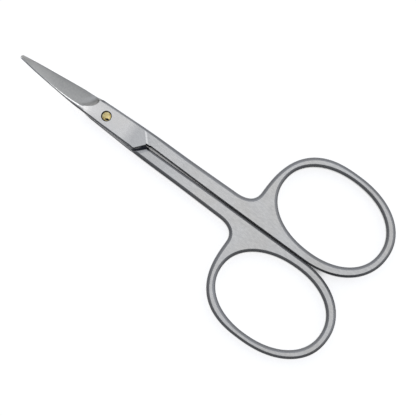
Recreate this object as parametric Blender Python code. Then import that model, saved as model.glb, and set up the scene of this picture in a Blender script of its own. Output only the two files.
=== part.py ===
# Curved nail scissors: two forged steel halves with finger rings, joined by one brass pivot screw.
# Metres, +Z up. The pair lies flat with its tips at -X and its finger rings at +X. The origin is the
# centre of the underside of its bounding box. Each half is modelled round the pivot axis, on the
# plane where the two halves slide on each other.

from math import cos, hypot, pi, radians, sin

import bmesh
import bpy
from mathutils import Matrix, Vector

# Blades, seen from above. The tip and every other reach is measured from the pivot axis.
TIP_REACH = 0.02253
TIP_RADIUS = 0.0005
EDGE_SETBACK = 0.0001
GRIND_STRIP = 0.0006
BLADE_SET = 0.00047

# Blades, seen from the side: both curve up, and thin out towards the tip.
CURVE_RADIUS = 0.060
CURVE_START = 0.0005
TIP_THICKNESS = 0.00065
EDGE_THICKNESS = 0.00012
GRIND_BULGE = 0.00005
SPINE_ROUND = 0.00015

# Lobes round the pivot, which lie one on the other.
LOBE_HALF_WIDTH = 0.00259
LOBE_THICKNESS = 0.0014
LAP_CLEARANCE = 0.0001
LOBE_INSET = 0.00058
LOBE_NEAR_ROUND = 0.0005
LOBE_FAR_ROUND = 0.00038
LOBE_END_ROUND = 0.00015
LAP_EDGE_ROUND = 0.00012

# Grinding run-out, between the deepest grinding and the flat of the lobe.
RUN_OUT_REACH = 0.0072
RUN_OUT_LEAN = 0.0046
RUN_OUT_LENGTH = 0.0016
RUN_OUT_BOW = 0.0012

# End of the lobe, and the shoulder where the shank takes its full thickness.
LOBE_END_REACH = 0.0087
LOBE_END_LEAN = 0.0020
LOBE_CORNER_ROUND = 0.00025
SHOULDER_LEAN = 0.0027
SHOULDER_CLEARANCE = 0.00073
SHOULDER_DRAFT = 0.0001
SHOULDER_ROUND = 0.00035
CREASE_WIDTH = 0.0003
CREASE_DROP = 0.00003
FORGING_SLOPE = 0.0085

# Shanks.
SHANK_THICKNESS = 0.0026
SHANK_RISE = 0.00074
SHANK_GAP = 0.0005
GAP_OPENING = 0.0004
RING_GAP = 0.00012
OUTER_ROUND = 0.00076
INNER_ROUND = 0.0003
INNER_LOW_ROUND = 0.0005

# Finger rings.
RING_CENTRE_REACH = 0.05247
EYE_HALF_LENGTH = 0.01292
EYE_HALF_WIDTH = 0.009
EYE_TURN = radians(1.9)
BAR_OUTER = 0.00177
BAR_INNER = 0.0022
BAR_END = 0.00208
BAR_NECK = 0.0025
TOP_SETBACK = 0.00045
HEEL_ADVANCE = 0.0015
EYE_ROUND = 0.00068
RING_ROUND = 0.0006
NECK_LENGTH = 0.00507
NECK_HEIGHT = 0.0035

# Pivot screw and its holes.
SCREW_RADIUS = 0.00099
SCREW_CLEARANCE = 0.00005
SCREW_DOME = 0.00008
SCREW_SINK = 0.0001
RECESS_RADIUS = 0.00118
RECESS_DEPTH = 0.0003
HEAD_RADIUS = 0.0016
HEAD_THICKNESS = 0.00055
HEAD_SINK = 0.0001
HEAD_BEVEL = 0.0001
SLOT_WIDTH = 0.0004
SLOT_DEPTH = 0.0003
SLOT_TURN = radians(35)
CUT_OVERRUN = 0.0005

# Half widths of the closed pair. A blade station is a share of TIP_REACH, and its width a share of
# LOBE_HALF_WIDTH. A shank station is a share of the reach of the neck, and its width a share of SHANK_RISE.
BLADE_WIDTH_SHARES = (
    (0.978, 0.190),
    (0.895, 0.294),
    (0.797, 0.406),
    (0.606, 0.584),
    (0.410, 0.754),
    (0.267, 0.858),
    (0.120, 0.944),
    (0.0, 1.0),
)
SHANK_WIDTH_SHARES = (
    (0.0, 0.0),
    (0.085, 0.15),
    (0.254, 0.45),
    (0.376, 0.615),
    (0.665, 0.73),
    (1.0, 1.0),
)
# Where the shank's inner side has closed up to the other half, as a share of the reach of the neck.
GAP_CLOSED_SHARE = 0.95
# Roundness of the outline: 2 is an ellipse, and more is fuller.
NECK_FULLNESS = 2.6
RING_CORNER_FULLNESS = 2.6
RING_FULLNESS = 2.17
RING_HEEL_FULLNESS = 2.12
EYE_FULLNESS = 2.13
# How much of the blade's thickness is left at the very end of its tip.
TIP_END_SHARE = 0.35
# How wide the strip beside the grinding is at the tip, how much of the flat it may take, and how fast it
# and the spine's rounding widen.
STRIP_TIP_SHARE = 0.22
STRIP_MOST_SHARE = 0.2
STRIP_POWER = 6.0
SPINE_POWER = 7.0
THINNING_POWER = 1.6

# A rounded edge leaves the flat at its start angle, turns as far as its sweep, and then turns more sharply,
# over a share of its width, to the wall.
EDGE_START = radians(10)
EDGE_SWEEP = radians(42)
EDGE_CORNER_SHARE = 0.2
# A rounding takes no more than this share of the wall or width that it is on.
WALL_SHARE = 0.4
# How hollow the run-out is, where 1 is straight, and how late the rounding changes round the ring's heel.
RUN_OUT_POWER = 1.3
HEEL_ROUND_POWER = 3.0
# The sharpest slant at which a line across a half may cross its outline.
LEAST_SINE = 0.35
# How far to each side of a point of the finger hole its direction is measured.
EYE_SPAN = radians(2)
SHARP_ANGLE = radians(30)

# Numbers of mesh steps.
FLAT_POINTS = 6
ROUND_STEPS = 2
EDGE_CORNER_STEPS = 1
TIP_STEPS = 3
BLADE_STEPS = 8
RUN_OUT_STEPS = 3
LOBE_STEPS = 3
SLOPE_STEPS = 2
SHANK_STEPS = 4
TURNED_STEPS = 28
DOME_STEPS = 3
NECK_STEPS = 7
CORNER_STEPS = 11
RING_STEPS = 9
INNER_STEPS = 7

# Angles of the points of the finger hole that face the ends of the neck, the heel and the inner side.
EYE_NECK_START = radians(250)
EYE_NECK_END = radians(202)
EYE_HEEL_END = radians(-90)
EYE_INNER_END = radians(-107)

# Places worked out from the sizes above.
LAP_LEVEL = LAP_CLEARANCE / 2
LOBE_LEVEL = LAP_LEVEL + LOBE_THICKNESS
SHANK_LEVEL = SHANK_THICKNESS / 2
FLAT_RADIUS = LOBE_HALF_WIDTH + CURVE_START
RUN_OUT_HIGH = RUN_OUT_LEAN - RUN_OUT_REACH
LOBE_END_FAR = LOBE_END_REACH + LOBE_END_LEAN
OUTLINE_STEP = TIP_RADIUS / 8
RING_CENTRE_Y = RING_GAP / 2 + BAR_INNER + EYE_HALF_WIDTH
RING_REACH = RING_CENTRE_REACH + EYE_HALF_LENGTH + BAR_END
RING_LEFT = RING_CENTRE_REACH - EYE_HALF_LENGTH - BAR_NECK
RING_TOP = RING_CENTRE_Y + EYE_HALF_WIDTH + BAR_OUTER
RIM_CENTRE_X = RING_CENTRE_REACH - TOP_SETBACK
RIM_CENTRE_Y = (RING_TOP + RING_GAP / 2) / 2
RIM_HALF_LENGTH = RING_REACH - RIM_CENTRE_X
RIM_HALF_WIDTH = RING_TOP - RIM_CENTRE_Y
NECK_REACH = RING_LEFT - NECK_LENGTH
PIVOT_X = (TIP_REACH - RING_REACH) / 2
PIVOT_Z = LOBE_LEVEL
BORE_RADIUS = SCREW_RADIUS + SCREW_CLEARANCE


def clamp(value):
    return max(0.0, min(1.0, value))


def smooth_value(table, x):
    """The height at x of a smooth curve through the table's (x, y) rows, which rise or fall in x."""
    rows = sorted(table)
    if x <= rows[0][0]:
        return rows[0][1]
    if x >= rows[-1][0]:
        return rows[-1][1]
    slopes = []
    for i in range(len(rows)):
        low = rows[max(i - 1, 0)]
        high = rows[min(i + 1, len(rows) - 1)]
        slopes.append((high[1] - low[1]) / (high[0] - low[0]))
    for i in range(len(rows) - 1):
        (x0, y0), (x1, y1) = rows[i], rows[i + 1]
        if x <= x1:
            break
    step = x1 - x0
    t = (x - x0) / step
    return (
        y0 * (1 + 2 * t) * (1 - t) ** 2
        + slopes[i] * step * t * (1 - t) ** 2
        + y1 * t * t * (3 - 2 * t)
        - slopes[i + 1] * step * t * t * (1 - t)
    )


def pair_half_width(x):
    """Half the width of the closed pair at x, without its rings."""
    if x < 0:
        tip_centre = TIP_REACH - TIP_RADIUS
        if -x > tip_centre:
            return max(TIP_RADIUS**2 - (-x - tip_centre) ** 2, 0.0) ** 0.5
        return LOBE_HALF_WIDTH * smooth_value(BLADE_WIDTH_SHARES, -x / TIP_REACH)
    return LOBE_HALF_WIDTH + SHANK_RISE * smooth_value(SHANK_WIDTH_SHARES, x / NECK_REACH)


def near_edge(x):
    """The side of a half that its own ring is on: its cutting edge, its lobe and its shank's outer side."""
    width = pair_half_width(x)
    ground = clamp((RUN_OUT_HIGH - x) / RUN_OUT_LENGTH)
    setback = EDGE_SETBACK * clamp(width / LOBE_HALF_WIDTH) * ground
    return width - setback


def inner_gap(x):
    """Half the gap between the shanks at x. It opens past the shoulder, and closes up towards the rings."""
    opened = clamp((x - LOBE_END_FAR - SHOULDER_CLEARANCE) / GAP_OPENING)
    closed = clamp((x - LOBE_END_FAR) / (GAP_CLOSED_SHARE * NECK_REACH - LOBE_END_FAR))
    return (RING_GAP + (SHANK_GAP - RING_GAP) * opened * (1 - closed)) / 2


def far_edge(x):
    """The other side of a half: its spine, its lobe's far side and end, and its shank's inner side."""
    if x >= LOBE_END_FAR:
        return inner_gap(x)
    corner = LOBE_INSET - pair_half_width(LOBE_END_REACH)
    steepness = (inner_gap(LOBE_END_FAR) - corner) / LOBE_END_LEAN
    past_corner = x - LOBE_END_REACH
    if past_corner > LOBE_CORNER_ROUND:
        return corner + steepness * past_corner
    inset = LOBE_INSET * clamp((x + RUN_OUT_REACH) / (LOBE_END_REACH + RUN_OUT_REACH))
    turned = clamp((past_corner / LOBE_CORNER_ROUND + 1) / 2)
    return inset - pair_half_width(min(x, LOBE_END_REACH)) + steepness * LOBE_CORNER_ROUND * turned**2


def stations():
    """Lines across a half, from its far edge to its near edge, from the tip to the neck. Each row is
    the x of both ends, the outer and inner face's level, how fully the line is ground, and its bow."""
    rows = []

    def fill(steps, far_x, near_x, outer=LOBE_LEVEL, inner=LAP_LEVEL, ground=0.0, bow=0.0):
        last = rows[-1]
        goal = (far_x, near_x, outer, inner, ground, bow)
        for step in range(1, steps + 1):
            share = step / steps
            rows.append(tuple(a + (b - a) * share for a, b in zip(last, goal)))

    def fill_leaning(steps, far_x, outer=LOBE_LEVEL, inner=LAP_LEVEL):
        fill(steps, far_x, far_x - SHOULDER_LEAN, outer, inner)

    for step in range(TIP_STEPS, -1, -1):
        x = TIP_RADIUS * (1 - sin(pi * step / (2 * TIP_STEPS + 1))) - TIP_REACH
        rows.append((x, x, LOBE_LEVEL, LAP_LEVEL, 1.0, 0.0))
    deep_far = -RUN_OUT_REACH - RUN_OUT_LENGTH / 2
    fill(BLADE_STEPS, deep_far, RUN_OUT_HIGH - RUN_OUT_LENGTH, ground=1.0, bow=RUN_OUT_BOW)
    fill(RUN_OUT_STEPS, -RUN_OUT_REACH, RUN_OUT_HIGH, bow=RUN_OUT_BOW)
    fill(LOBE_STEPS, 0.0, 0.0)
    fill_leaning(LOBE_STEPS, LOBE_END_REACH - LOBE_CORNER_ROUND)
    fill_leaning(ROUND_STEPS, LOBE_END_REACH + LOBE_CORNER_ROUND)
    fill_leaning(LOBE_STEPS, LOBE_END_FAR)

    # The outer face drops at the crease, and then slopes down to the shank. The inner face has a wall.
    crease_far = LOBE_END_FAR + SHOULDER_CLEARANCE / 2
    shoulder_far = LOBE_END_FAR + SHOULDER_CLEARANCE
    below_crease = LOBE_LEVEL - CREASE_DROP
    fill_leaning(1, crease_far)
    fill_leaning(1, crease_far + CREASE_WIDTH, below_crease)
    fill_leaning(1, shoulder_far, below_crease)
    wall_far = shoulder_far + SHOULDER_DRAFT
    wall_end = SHOULDER_ROUND - SHANK_LEVEL
    fill_leaning(1, wall_far, below_crease, wall_end)
    for step in range(1, ROUND_STEPS + 1):
        turn = pi / 2 * step / ROUND_STEPS
        round_far = wall_far + SHOULDER_ROUND * (1 - cos(turn))
        fill_leaning(1, round_far, below_crease, wall_end - SHOULDER_ROUND * sin(turn))
    flat_x = LOBE_END_FAR + FORGING_SLOPE
    fill(SLOPE_STEPS, flat_x, flat_x, SHANK_LEVEL, -SHANK_LEVEL)
    fill(SHANK_STEPS, NECK_REACH, NECK_REACH, SHANK_LEVEL, -SHANK_LEVEL)
    return rows


def lift(x, y):
    """How far the blades rise at a point. It depends on the distance from the pivot alone, so that the
    two blades stay a constant distance apart at every opening."""
    reach = hypot(x, y) - FLAT_RADIUS
    if x >= 0 or reach <= 0:
        return 0.0
    return reach**2 / (2 * CURVE_RADIUS)


def tip_share(x, y):
    """0 at the lobe, rising to 1 at the tip."""
    if x >= 0:
        return 0.0
    return clamp((hypot(x, y) - FLAT_RADIUS) / (TIP_REACH - FLAT_RADIUS))


def spine_level(x, y, station_level):
    """The outer face's level before grinding. It thins out towards the tip, and rounds down at its end."""
    level = station_level - (LOBE_THICKNESS - TIP_THICKNESS) * tip_share(x, y) ** THINNING_POWER
    past_centre = clamp((TIP_RADIUS - TIP_REACH - x) / TIP_RADIUS)
    rounded = TIP_END_SHARE + (1 - TIP_END_SHARE) * (1 - past_centre**2) ** 0.5
    return LAP_LEVEL + (level - LAP_LEVEL) * rounded


def rounded_edge(width):
    """Points down a rounded edge, from the flat to the wall, as distances in from the wall and below
    the flat."""
    corner = EDGE_CORNER_SHARE * width
    radius = (width - corner * (1 - sin(EDGE_SWEEP))) / (sin(EDGE_SWEEP) - sin(EDGE_START))
    points = []
    for step in range(ROUND_STEPS + 1):
        turn = EDGE_START + (EDGE_SWEEP - EDGE_START) * step / ROUND_STEPS
        points.append((width - radius * (sin(turn) - sin(EDGE_START)), radius * (cos(EDGE_START) - cos(turn))))
    depth = radius * (cos(EDGE_START) - cos(EDGE_SWEEP)) + corner * cos(EDGE_SWEEP)
    for step in range(1, EDGE_CORNER_STEPS + 1):
        turn = EDGE_SWEEP + (pi / 2 - EDGE_SWEEP) * step / EDGE_CORNER_STEPS
        points.append((corner * (1 - sin(turn)), depth - corner * cos(turn)))
    return points


def side_profile(edge, inward, slant, top, bottom, top_round, bottom_round):
    """Points down one side of a half, from the top flat's edge, round it, down the wall and round to the
    bottom flat's edge. slant lengthens the rounding where the line across isn't square to the side."""
    points = []
    for in_by, down in rounded_edge(top_round):
        points.append(Vector((*(edge + inward * in_by * slant), top - down)))
    for in_by, up in reversed(rounded_edge(bottom_round)):
        points.append(Vector((*(edge + inward * in_by * slant), bottom + up)))
    return points


def slant_of(edge_line, x, across):
    """1 over the sine of the angle between the line across and the outline at x."""
    rise = edge_line(x + OUTLINE_STEP) - edge_line(x - OUTLINE_STEP)
    ahead = Vector((2 * OUTLINE_STEP, rise)).normalized()
    return 1 / max(abs(ahead.cross(across)), LEAST_SINE)


def across_station(row):
    """One closed loop round a half: its top flat, near side, bottom flat and far side."""
    far_x, near_x, outer, inner, ground, bow = row
    far = Vector((far_x, far_edge(far_x)))
    near = Vector((near_x, near_edge(near_x)))
    across = (near - far).normalized()
    on_lobe = inner > 0
    from_tip = clamp((far_x + TIP_REACH) / (TIP_REACH - RUN_OUT_REACH))
    grind = 1 - (1 - ground) ** RUN_OUT_POWER

    # Roundings: the spine's widens from the tip, and narrows again round the corner of the lobe's end.
    spine = spine_level(far.x, far.y, outer)
    full = spine_level(near.x, near.y, outer)
    near_top = full + (LAP_LEVEL + EDGE_THICKNESS - full) * grind
    if far_x < -RUN_OUT_REACH:
        far_round = SPINE_ROUND + (LOBE_FAR_ROUND - SPINE_ROUND) * from_tip**SPINE_POWER
    elif far_x < LOBE_END_FAR:
        turned = clamp(((far_x - LOBE_END_REACH) / LOBE_CORNER_ROUND + 1) / 2)
        far_round = LOBE_FAR_ROUND + (LOBE_END_ROUND - LOBE_FAR_ROUND) * turned
    else:
        far_round = INNER_ROUND
    sloped = clamp((far_x - LOBE_END_FAR) / FORGING_SLOPE)
    near_round = LOBE_NEAR_ROUND + (OUTER_ROUND - LOBE_NEAR_ROUND) * sloped
    far_low_round = LAP_EDGE_ROUND if on_lobe else INNER_LOW_ROUND
    near_low_round = LAP_EDGE_ROUND if on_lobe else OUTER_ROUND
    width = (near - far).length
    far_round = WALL_SHARE * min(far_round / WALL_SHARE, spine - inner, width)
    near_round = WALL_SHARE * min(near_round / WALL_SHARE, near_top - inner, width)
    near_low_round = min(near_low_round, WALL_SHARE * (near_top - inner))
    far_low_round = min(far_low_round, WALL_SHARE * (spine - inner))
    far_slant = slant_of(far_edge, far_x, across)
    near_slant = slant_of(near_edge, near_x, across)
    if far_x < TIP_RADIUS - TIP_REACH:
        far_slant = near_slant = 1.0
    far_side = side_profile(far, across, far_slant, spine, inner, far_round, far_low_round)
    near_side = side_profile(near, -across, near_slant, near_top, inner, near_round, near_low_round)

    # Flats: the strip beside the grinding, then even steps. A ground line falls to the cutting edge.
    top_far, top_near = far_side[0], near_side[0]
    flat = (top_near - top_far).to_2d().length
    even_share = 1 / (FLAT_POINTS - 1)
    strip = GRIND_STRIP * (STRIP_TIP_SHARE + (1 - STRIP_TIP_SHARE) * from_tip**STRIP_POWER)
    strip_share = min(strip / flat, STRIP_MOST_SHARE)
    if far_x < -RUN_OUT_REACH:
        first = strip_share
    else:
        first = strip_share + (even_share - strip_share) * clamp(1 + far_x / RUN_OUT_REACH)
    shares = [first + (1 - first) * step / (FLAT_POINTS - 2) for step in range(FLAT_POINTS - 2)]
    top = []
    bottom = []
    for share in shares:
        bend = 4 * bow * share * (1 - share)
        spot = top_far.to_2d().lerp(top_near.to_2d(), share) + Vector((bend, 0))
        level = spine_level(spot.x, spot.y, outer)
        down = (share - first) / (1 - first)
        bulge = 4 * GRIND_BULGE * down * (1 - down) * (level - LAP_LEVEL) / LOBE_THICKNESS
        cut = level + (LAP_LEVEL + EDGE_THICKNESS - level) * down + bulge
        top.append(Vector((*spot, level + (cut - level) * grind)))
        spot = far_side[-1].to_2d().lerp(near_side[-1].to_2d(), share) + Vector((bend, 0))
        bottom.append(Vector((*spot, inner)))
    return top, near_side, bottom[::-1], far_side[::-1]


def superellipse(centre, half_length, half_width, fullness, turn):
    """The point at an angle on a superellipse, which passes through its ends at every quarter turn."""
    c, s = cos(turn), sin(turn)
    across = half_length * abs(c) ** (2 / fullness)
    up = half_width * abs(s) ** (2 / fullness)
    return Vector((centre[0] + (across if c > 0 else -across), centre[1] + (up if s > 0 else -up)))


def rim_outline():
    """The outline of the ring, from the shank's outer side round to its inner side. Each row is a point,
    its upper and lower rounding and the angle of the point of the finger hole that faces it."""
    rows = []
    neck_centre = (NECK_REACH, near_edge(NECK_REACH) + NECK_HEIGHT)
    for step in range(1, NECK_STEPS + 1):
        share = step / NECK_STEPS
        turn = pi / 2 * (share - 1)
        point = superellipse(neck_centre, NECK_LENGTH, NECK_HEIGHT, NECK_FULLNESS, turn)
        faced = EYE_NECK_START + (EYE_NECK_END - EYE_NECK_START) * share
        rows.append((point, OUTER_ROUND, OUTER_ROUND, faced))
    corner = (RIM_CENTRE_X, neck_centre[1], RIM_CENTRE_X - RING_LEFT, RING_TOP - neck_centre[1])
    rim = (RIM_CENTRE_X, RIM_CENTRE_Y, RIM_HALF_LENGTH, RIM_HALF_WIDTH)
    for step in range(CORNER_STEPS):
        share = step / CORNER_STEPS
        turn = pi * (1 - share / 2)
        point = superellipse(corner[:2], *corner[2:], RING_CORNER_FULLNESS, turn)
        rounding = OUTER_ROUND + (RING_ROUND - OUTER_ROUND) * share
        rows.append((point, rounding, rounding, EYE_NECK_END + (pi / 2 - EYE_NECK_END) * share))
    for step in range(RING_STEPS):
        turn = pi / 2 * (1 - step / RING_STEPS)
        rows.append((superellipse(rim[:2], *rim[2:], RING_FULLNESS, turn), RING_ROUND, RING_ROUND, turn))
    heel_x = RIM_CENTRE_X + HEEL_ADVANCE
    heel = (heel_x, RIM_CENTRE_Y, RIM_HALF_LENGTH - HEEL_ADVANCE, RIM_HALF_WIDTH)
    for step in range(RING_STEPS):
        share = step / RING_STEPS
        turn = -pi / 2 * share
        high_round = RING_ROUND + (INNER_ROUND - RING_ROUND) * share**HEEL_ROUND_POWER
        low_round = RING_ROUND + (INNER_LOW_ROUND - RING_ROUND) * share**HEEL_ROUND_POWER
        point = superellipse(heel[:2], *heel[2:], RING_HEEL_FULLNESS, turn)
        rows.append((point, high_round, low_round, turn))
    for step in range(INNER_STEPS):
        share = step / INNER_STEPS
        x = heel_x + (NECK_REACH - heel_x) * share
        y = RING_GAP / 2 + (inner_gap(NECK_REACH) - RING_GAP / 2) * share
        faced = EYE_HEEL_END + (EYE_INNER_END - EYE_HEEL_END) * share
        rows.append((Vector((x, y)), INNER_ROUND, INNER_LOW_ROUND, faced))
    return rows


def ring_profiles(first, last):
    """Side profiles round the rim, from the last station's near side to its far side, and round the
    finger hole, one hole profile to each rim profile and to each point between the two sides."""
    rows = rim_outline()
    wall = ROUND_STEPS + EDGE_CORNER_STEPS
    points = [first[wall].to_2d()] + [row[0] for row in rows] + [last[wall].to_2d()]
    rim = [first]
    for i, (point, high_round, low_round, _) in enumerate(rows, start=1):
        along = (points[i + 1] - points[i - 1]).normalized()
        inward = Vector((along.y, -along.x))
        rim.append(side_profile(point, inward, 1.0, SHANK_LEVEL, -SHANK_LEVEL, high_round, low_round))
    rim.append(last)
    turns = [EYE_NECK_START] + [row[3] for row in rows] + [EYE_INNER_END]
    flat_steps = FLAT_POINTS - 1
    left = EYE_NECK_START - 2 * pi - EYE_INNER_END
    turns += [EYE_INNER_END + left * step / flat_steps for step in range(1, flat_steps)]
    hole = []
    centre = Vector((RING_CENTRE_REACH, RING_CENTRE_Y))
    lean = Matrix.Rotation(-EYE_TURN, 2)
    for turn in turns:
        point, ahead, behind = (
            superellipse((0, 0), EYE_HALF_LENGTH, EYE_HALF_WIDTH, EYE_FULLNESS, turn + aside)
            for aside in (0, EYE_SPAN, -EYE_SPAN)
        )
        along = lean @ (ahead - behind).normalized()
        out = Vector((along.y, -along.x))
        edge = centre + lean @ point
        hole.append(side_profile(edge, out, 1.0, SHANK_LEVEL, -SHANK_LEVEL, EYE_ROUND, EYE_ROUND))
    return rim, hole


def half_mesh(name, side):
    """One half as a closed mesh. side is 1 for the front half, and -1 for the rear half, which is the
    same shape turned over about its length, but for the blade's curve."""
    mesh = bmesh.new()

    def vertex(point):
        x, y, z = point.x, side * point.y, side * point.z
        bend = BLADE_SET * tip_share(x, y)
        return mesh.verts.new((x, y - bend, z + lift(x, y)))

    def strip(line_a, line_b, closed=False):
        count = len(line_a)
        for i in range(count if closed else count - 1):
            j = (i + 1) % count
            mesh.faces.new((line_a[i], line_a[j], line_b[j], line_b[i]))

    loops = []
    for row in stations():
        parts = across_station(row)
        loops.append([[vertex(point) for point in part] for part in parts])
    flat_loops = [sum(parts, []) for parts in loops]
    for loop, following in zip(flat_loops, flat_loops[1:]):
        strip(loop, following, closed=True)
    mesh.faces.new(flat_loops[0])

    top, near_side, bottom, far_side = loops[-1]
    near_points, far_points = across_station(stations()[-1])[1::2]
    rim_points, hole_points = ring_profiles(near_points, far_points[::-1])
    rim = [near_side]
    rim += [[vertex(point) for point in profile] for profile in rim_points[1:-1]]
    rim += [far_side[::-1]]
    hole = [[vertex(point) for point in profile] for profile in hole_points]
    for profile, following in zip(rim, rim[1:]):
        strip(profile, following)
    for profile, following in zip(hole, hole[1:] + hole[:1]):
        strip(profile, following)
    strip([profile[0] for profile in rim] + top, [profile[0] for profile in hole], closed=True)
    strip([profile[-1] for profile in rim] + bottom[::-1], [profile[-1] for profile in hole], closed=True)

    bmesh.ops.recalc_face_normals(mesh, faces=mesh.faces)
    data = bpy.data.meshes.new(name)
    mesh.to_mesh(data)
    mesh.free()
    return data


def turned_mesh(name, profile):
    """A closed solid turned about Z. The profile runs from its lower end on the axis to its upper end."""
    mesh = bmesh.new()
    rings = []
    for radius, z in profile:
        if radius == 0:
            rings.append([mesh.verts.new((0, 0, z))] * TURNED_STEPS)
            continue
        turns = [2 * pi * step / TURNED_STEPS for step in range(TURNED_STEPS)]
        rings.append([mesh.verts.new((radius * cos(turn), radius * sin(turn), z)) for turn in turns])
    for low, high in zip(rings, rings[1:]):
        for i in range(TURNED_STEPS):
            j = (i + 1) % TURNED_STEPS
            corners = dict.fromkeys((low[i], low[j], high[j], high[i]))
            mesh.faces.new(corners)
    bmesh.ops.recalc_face_normals(mesh, faces=mesh.faces)
    data = bpy.data.meshes.new(name)
    mesh.to_mesh(data)
    mesh.free()
    return data


def material(name, colour, roughness):
    steel = bpy.data.materials.new(name)
    steel.use_nodes = True
    shader = steel.node_tree.nodes["Principled BSDF"]
    shader.inputs["Base Color"].default_value = (*colour, 1.0)
    shader.inputs["Roughness"].default_value = roughness
    shader.inputs["Metallic"].default_value = 1.0
    return steel


def place(name, data, parent=None):
    thing = bpy.data.objects.new(name, data)
    bpy.context.scene.collection.objects.link(thing)
    thing.parent = parent
    return thing


def cut(target, cutter):
    cutter.hide_render = True
    cutter.display_type = "WIRE"
    boolean = target.modifiers.new("cut_" + cutter.name, "BOOLEAN")
    boolean.operation = "DIFFERENCE"
    boolean.object = cutter


def clear_scene():
    for thing in list(bpy.data.objects):
        bpy.data.objects.remove(thing, do_unlink=True)


def make_halves(root, pivot, steel):
    """The rear half stands still, and the front half turns with the screw."""
    bore_end = LOBE_LEVEL + CUT_OVERRUN
    head_floor = HEAD_SINK + HEAD_THICKNESS + SCREW_CLEARANCE - LOBE_LEVEL
    front = place("front_half", half_mesh("front_half", 1), pivot)
    rear = place("rear_half", half_mesh("rear_half", -1), root)
    front_bore = turned_mesh(
        "front_bore",
        (
            (0, -bore_end),
            (BORE_RADIUS, -bore_end),
            (BORE_RADIUS, LOBE_LEVEL - RECESS_DEPTH),
            (RECESS_RADIUS, LOBE_LEVEL - RECESS_DEPTH),
            (RECESS_RADIUS, bore_end),
            (0, bore_end),
        ),
    )
    rear_bore = turned_mesh(
        "rear_bore",
        (
            (0, -bore_end),
            (HEAD_RADIUS + SCREW_CLEARANCE, -bore_end),
            (HEAD_RADIUS + SCREW_CLEARANCE, head_floor),
            (BORE_RADIUS, head_floor),
            (BORE_RADIUS, bore_end),
            (0, bore_end),
        ),
    )
    cut(front, place("front_bore", front_bore, pivot))
    cut(rear, place("rear_bore", rear_bore, root))
    for half in (front, rear):
        half.data.materials.append(steel)
        half.data.shade_smooth()
        half.data.set_sharp_from_angle(angle=SHARP_ANGLE)


def make_screw(pivot, brass):
    """A slotted head in the rear half, a plain shaft, and a domed end in the front half's recess."""
    head_low = HEAD_SINK - LOBE_LEVEL
    head_high = head_low + HEAD_THICKNESS
    dome_edge = LOBE_LEVEL - SCREW_SINK - SCREW_DOME
    profile = [
        (0, head_low),
        (HEAD_RADIUS - HEAD_BEVEL, head_low),
        (HEAD_RADIUS, head_low + HEAD_BEVEL),
        (HEAD_RADIUS, head_high),
        (SCREW_RADIUS, head_high),
    ]
    for step in range(DOME_STEPS):
        turn = pi / 2 * step / DOME_STEPS
        profile.append((SCREW_RADIUS * cos(turn), dome_edge + SCREW_DOME * sin(turn)))
    profile.append((0, dome_edge + SCREW_DOME))
    screw = place("pivot_screw", turned_mesh("pivot_screw", profile), pivot)
    slot_data = bpy.data.meshes.new("screw_slot")
    slot_mesh = bmesh.new()
    bmesh.ops.create_cube(slot_mesh, size=1)
    length = 2 * (HEAD_RADIUS + CUT_OVERRUN)
    bmesh.ops.scale(slot_mesh, verts=slot_mesh.verts, vec=(length, SLOT_WIDTH, 2 * SLOT_DEPTH))
    slot_mesh.to_mesh(slot_data)
    slot_mesh.free()
    slot = place("screw_slot", slot_data, pivot)
    slot.location.z = head_low
    slot.rotation_euler.z = SLOT_TURN
    cut(screw, slot)
    screw.data.materials.append(brass)
    screw.data.shade_smooth()
    screw.data.set_sharp_from_angle(angle=SHARP_ANGLE)


def main():
    clear_scene()
    steel = material("satin_steel", (0.55, 0.56, 0.57), 0.34)
    brass = material("brass", (0.80, 0.64, 0.32), 0.30)
    root = place("scissors", None)
    root.location = (PIVOT_X, 0, PIVOT_Z)
    pivot = place("pivot", None, root)
    make_halves(root, pivot, steel)
    make_screw(pivot, brass)


main()
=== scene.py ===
# Curved nail scissors, finished for the picture: satin steel halves with ground blades, and a brass
# pivot screw, on a plain white floor. Metres, +Z up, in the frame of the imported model. Shapes have the
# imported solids' sizes and finer steps, and are made round the pivot axis before they are placed.

from math import cos, hypot, pi, radians, sin, tan

import bmesh
import bpy
from mathutils import Matrix, Vector


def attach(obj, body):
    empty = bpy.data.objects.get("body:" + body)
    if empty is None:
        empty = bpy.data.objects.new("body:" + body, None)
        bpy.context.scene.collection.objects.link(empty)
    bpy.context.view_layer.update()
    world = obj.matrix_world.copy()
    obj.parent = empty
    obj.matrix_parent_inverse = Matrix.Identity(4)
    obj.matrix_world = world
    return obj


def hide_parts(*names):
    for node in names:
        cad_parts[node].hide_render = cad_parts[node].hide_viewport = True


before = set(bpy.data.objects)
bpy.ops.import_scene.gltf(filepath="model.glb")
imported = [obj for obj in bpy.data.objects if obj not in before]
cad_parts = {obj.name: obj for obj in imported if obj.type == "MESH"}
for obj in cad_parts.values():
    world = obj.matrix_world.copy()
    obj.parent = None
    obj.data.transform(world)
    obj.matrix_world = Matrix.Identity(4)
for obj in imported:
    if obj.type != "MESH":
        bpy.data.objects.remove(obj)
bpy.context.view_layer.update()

# Blades, seen from above. The tip and every other reach is measured from the pivot axis.
TIP_REACH = 0.02253
TIP_RADIUS = 0.0005
EDGE_SETBACK = 0.0001
GRIND_STRIP = 0.0006
BLADE_SET = 0.00047

# Blades, seen from the side: both curve up, and thin out towards the tip.
CURVE_RADIUS = 0.060
CURVE_START = 0.0005
TIP_THICKNESS = 0.00065
EDGE_THICKNESS = 0.00012
GRIND_BULGE = 0.00005
SPINE_ROUND = 0.00015

# Lobes round the pivot, which lie one on the other.
LOBE_HALF_WIDTH = 0.00259
LOBE_THICKNESS = 0.0014
LAP_CLEARANCE = 0.0001
LOBE_INSET = 0.00058
LOBE_NEAR_ROUND = 0.0005
LOBE_FAR_ROUND = 0.00038
LOBE_END_ROUND = 0.00015
LAP_EDGE_ROUND = 0.00012

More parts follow.
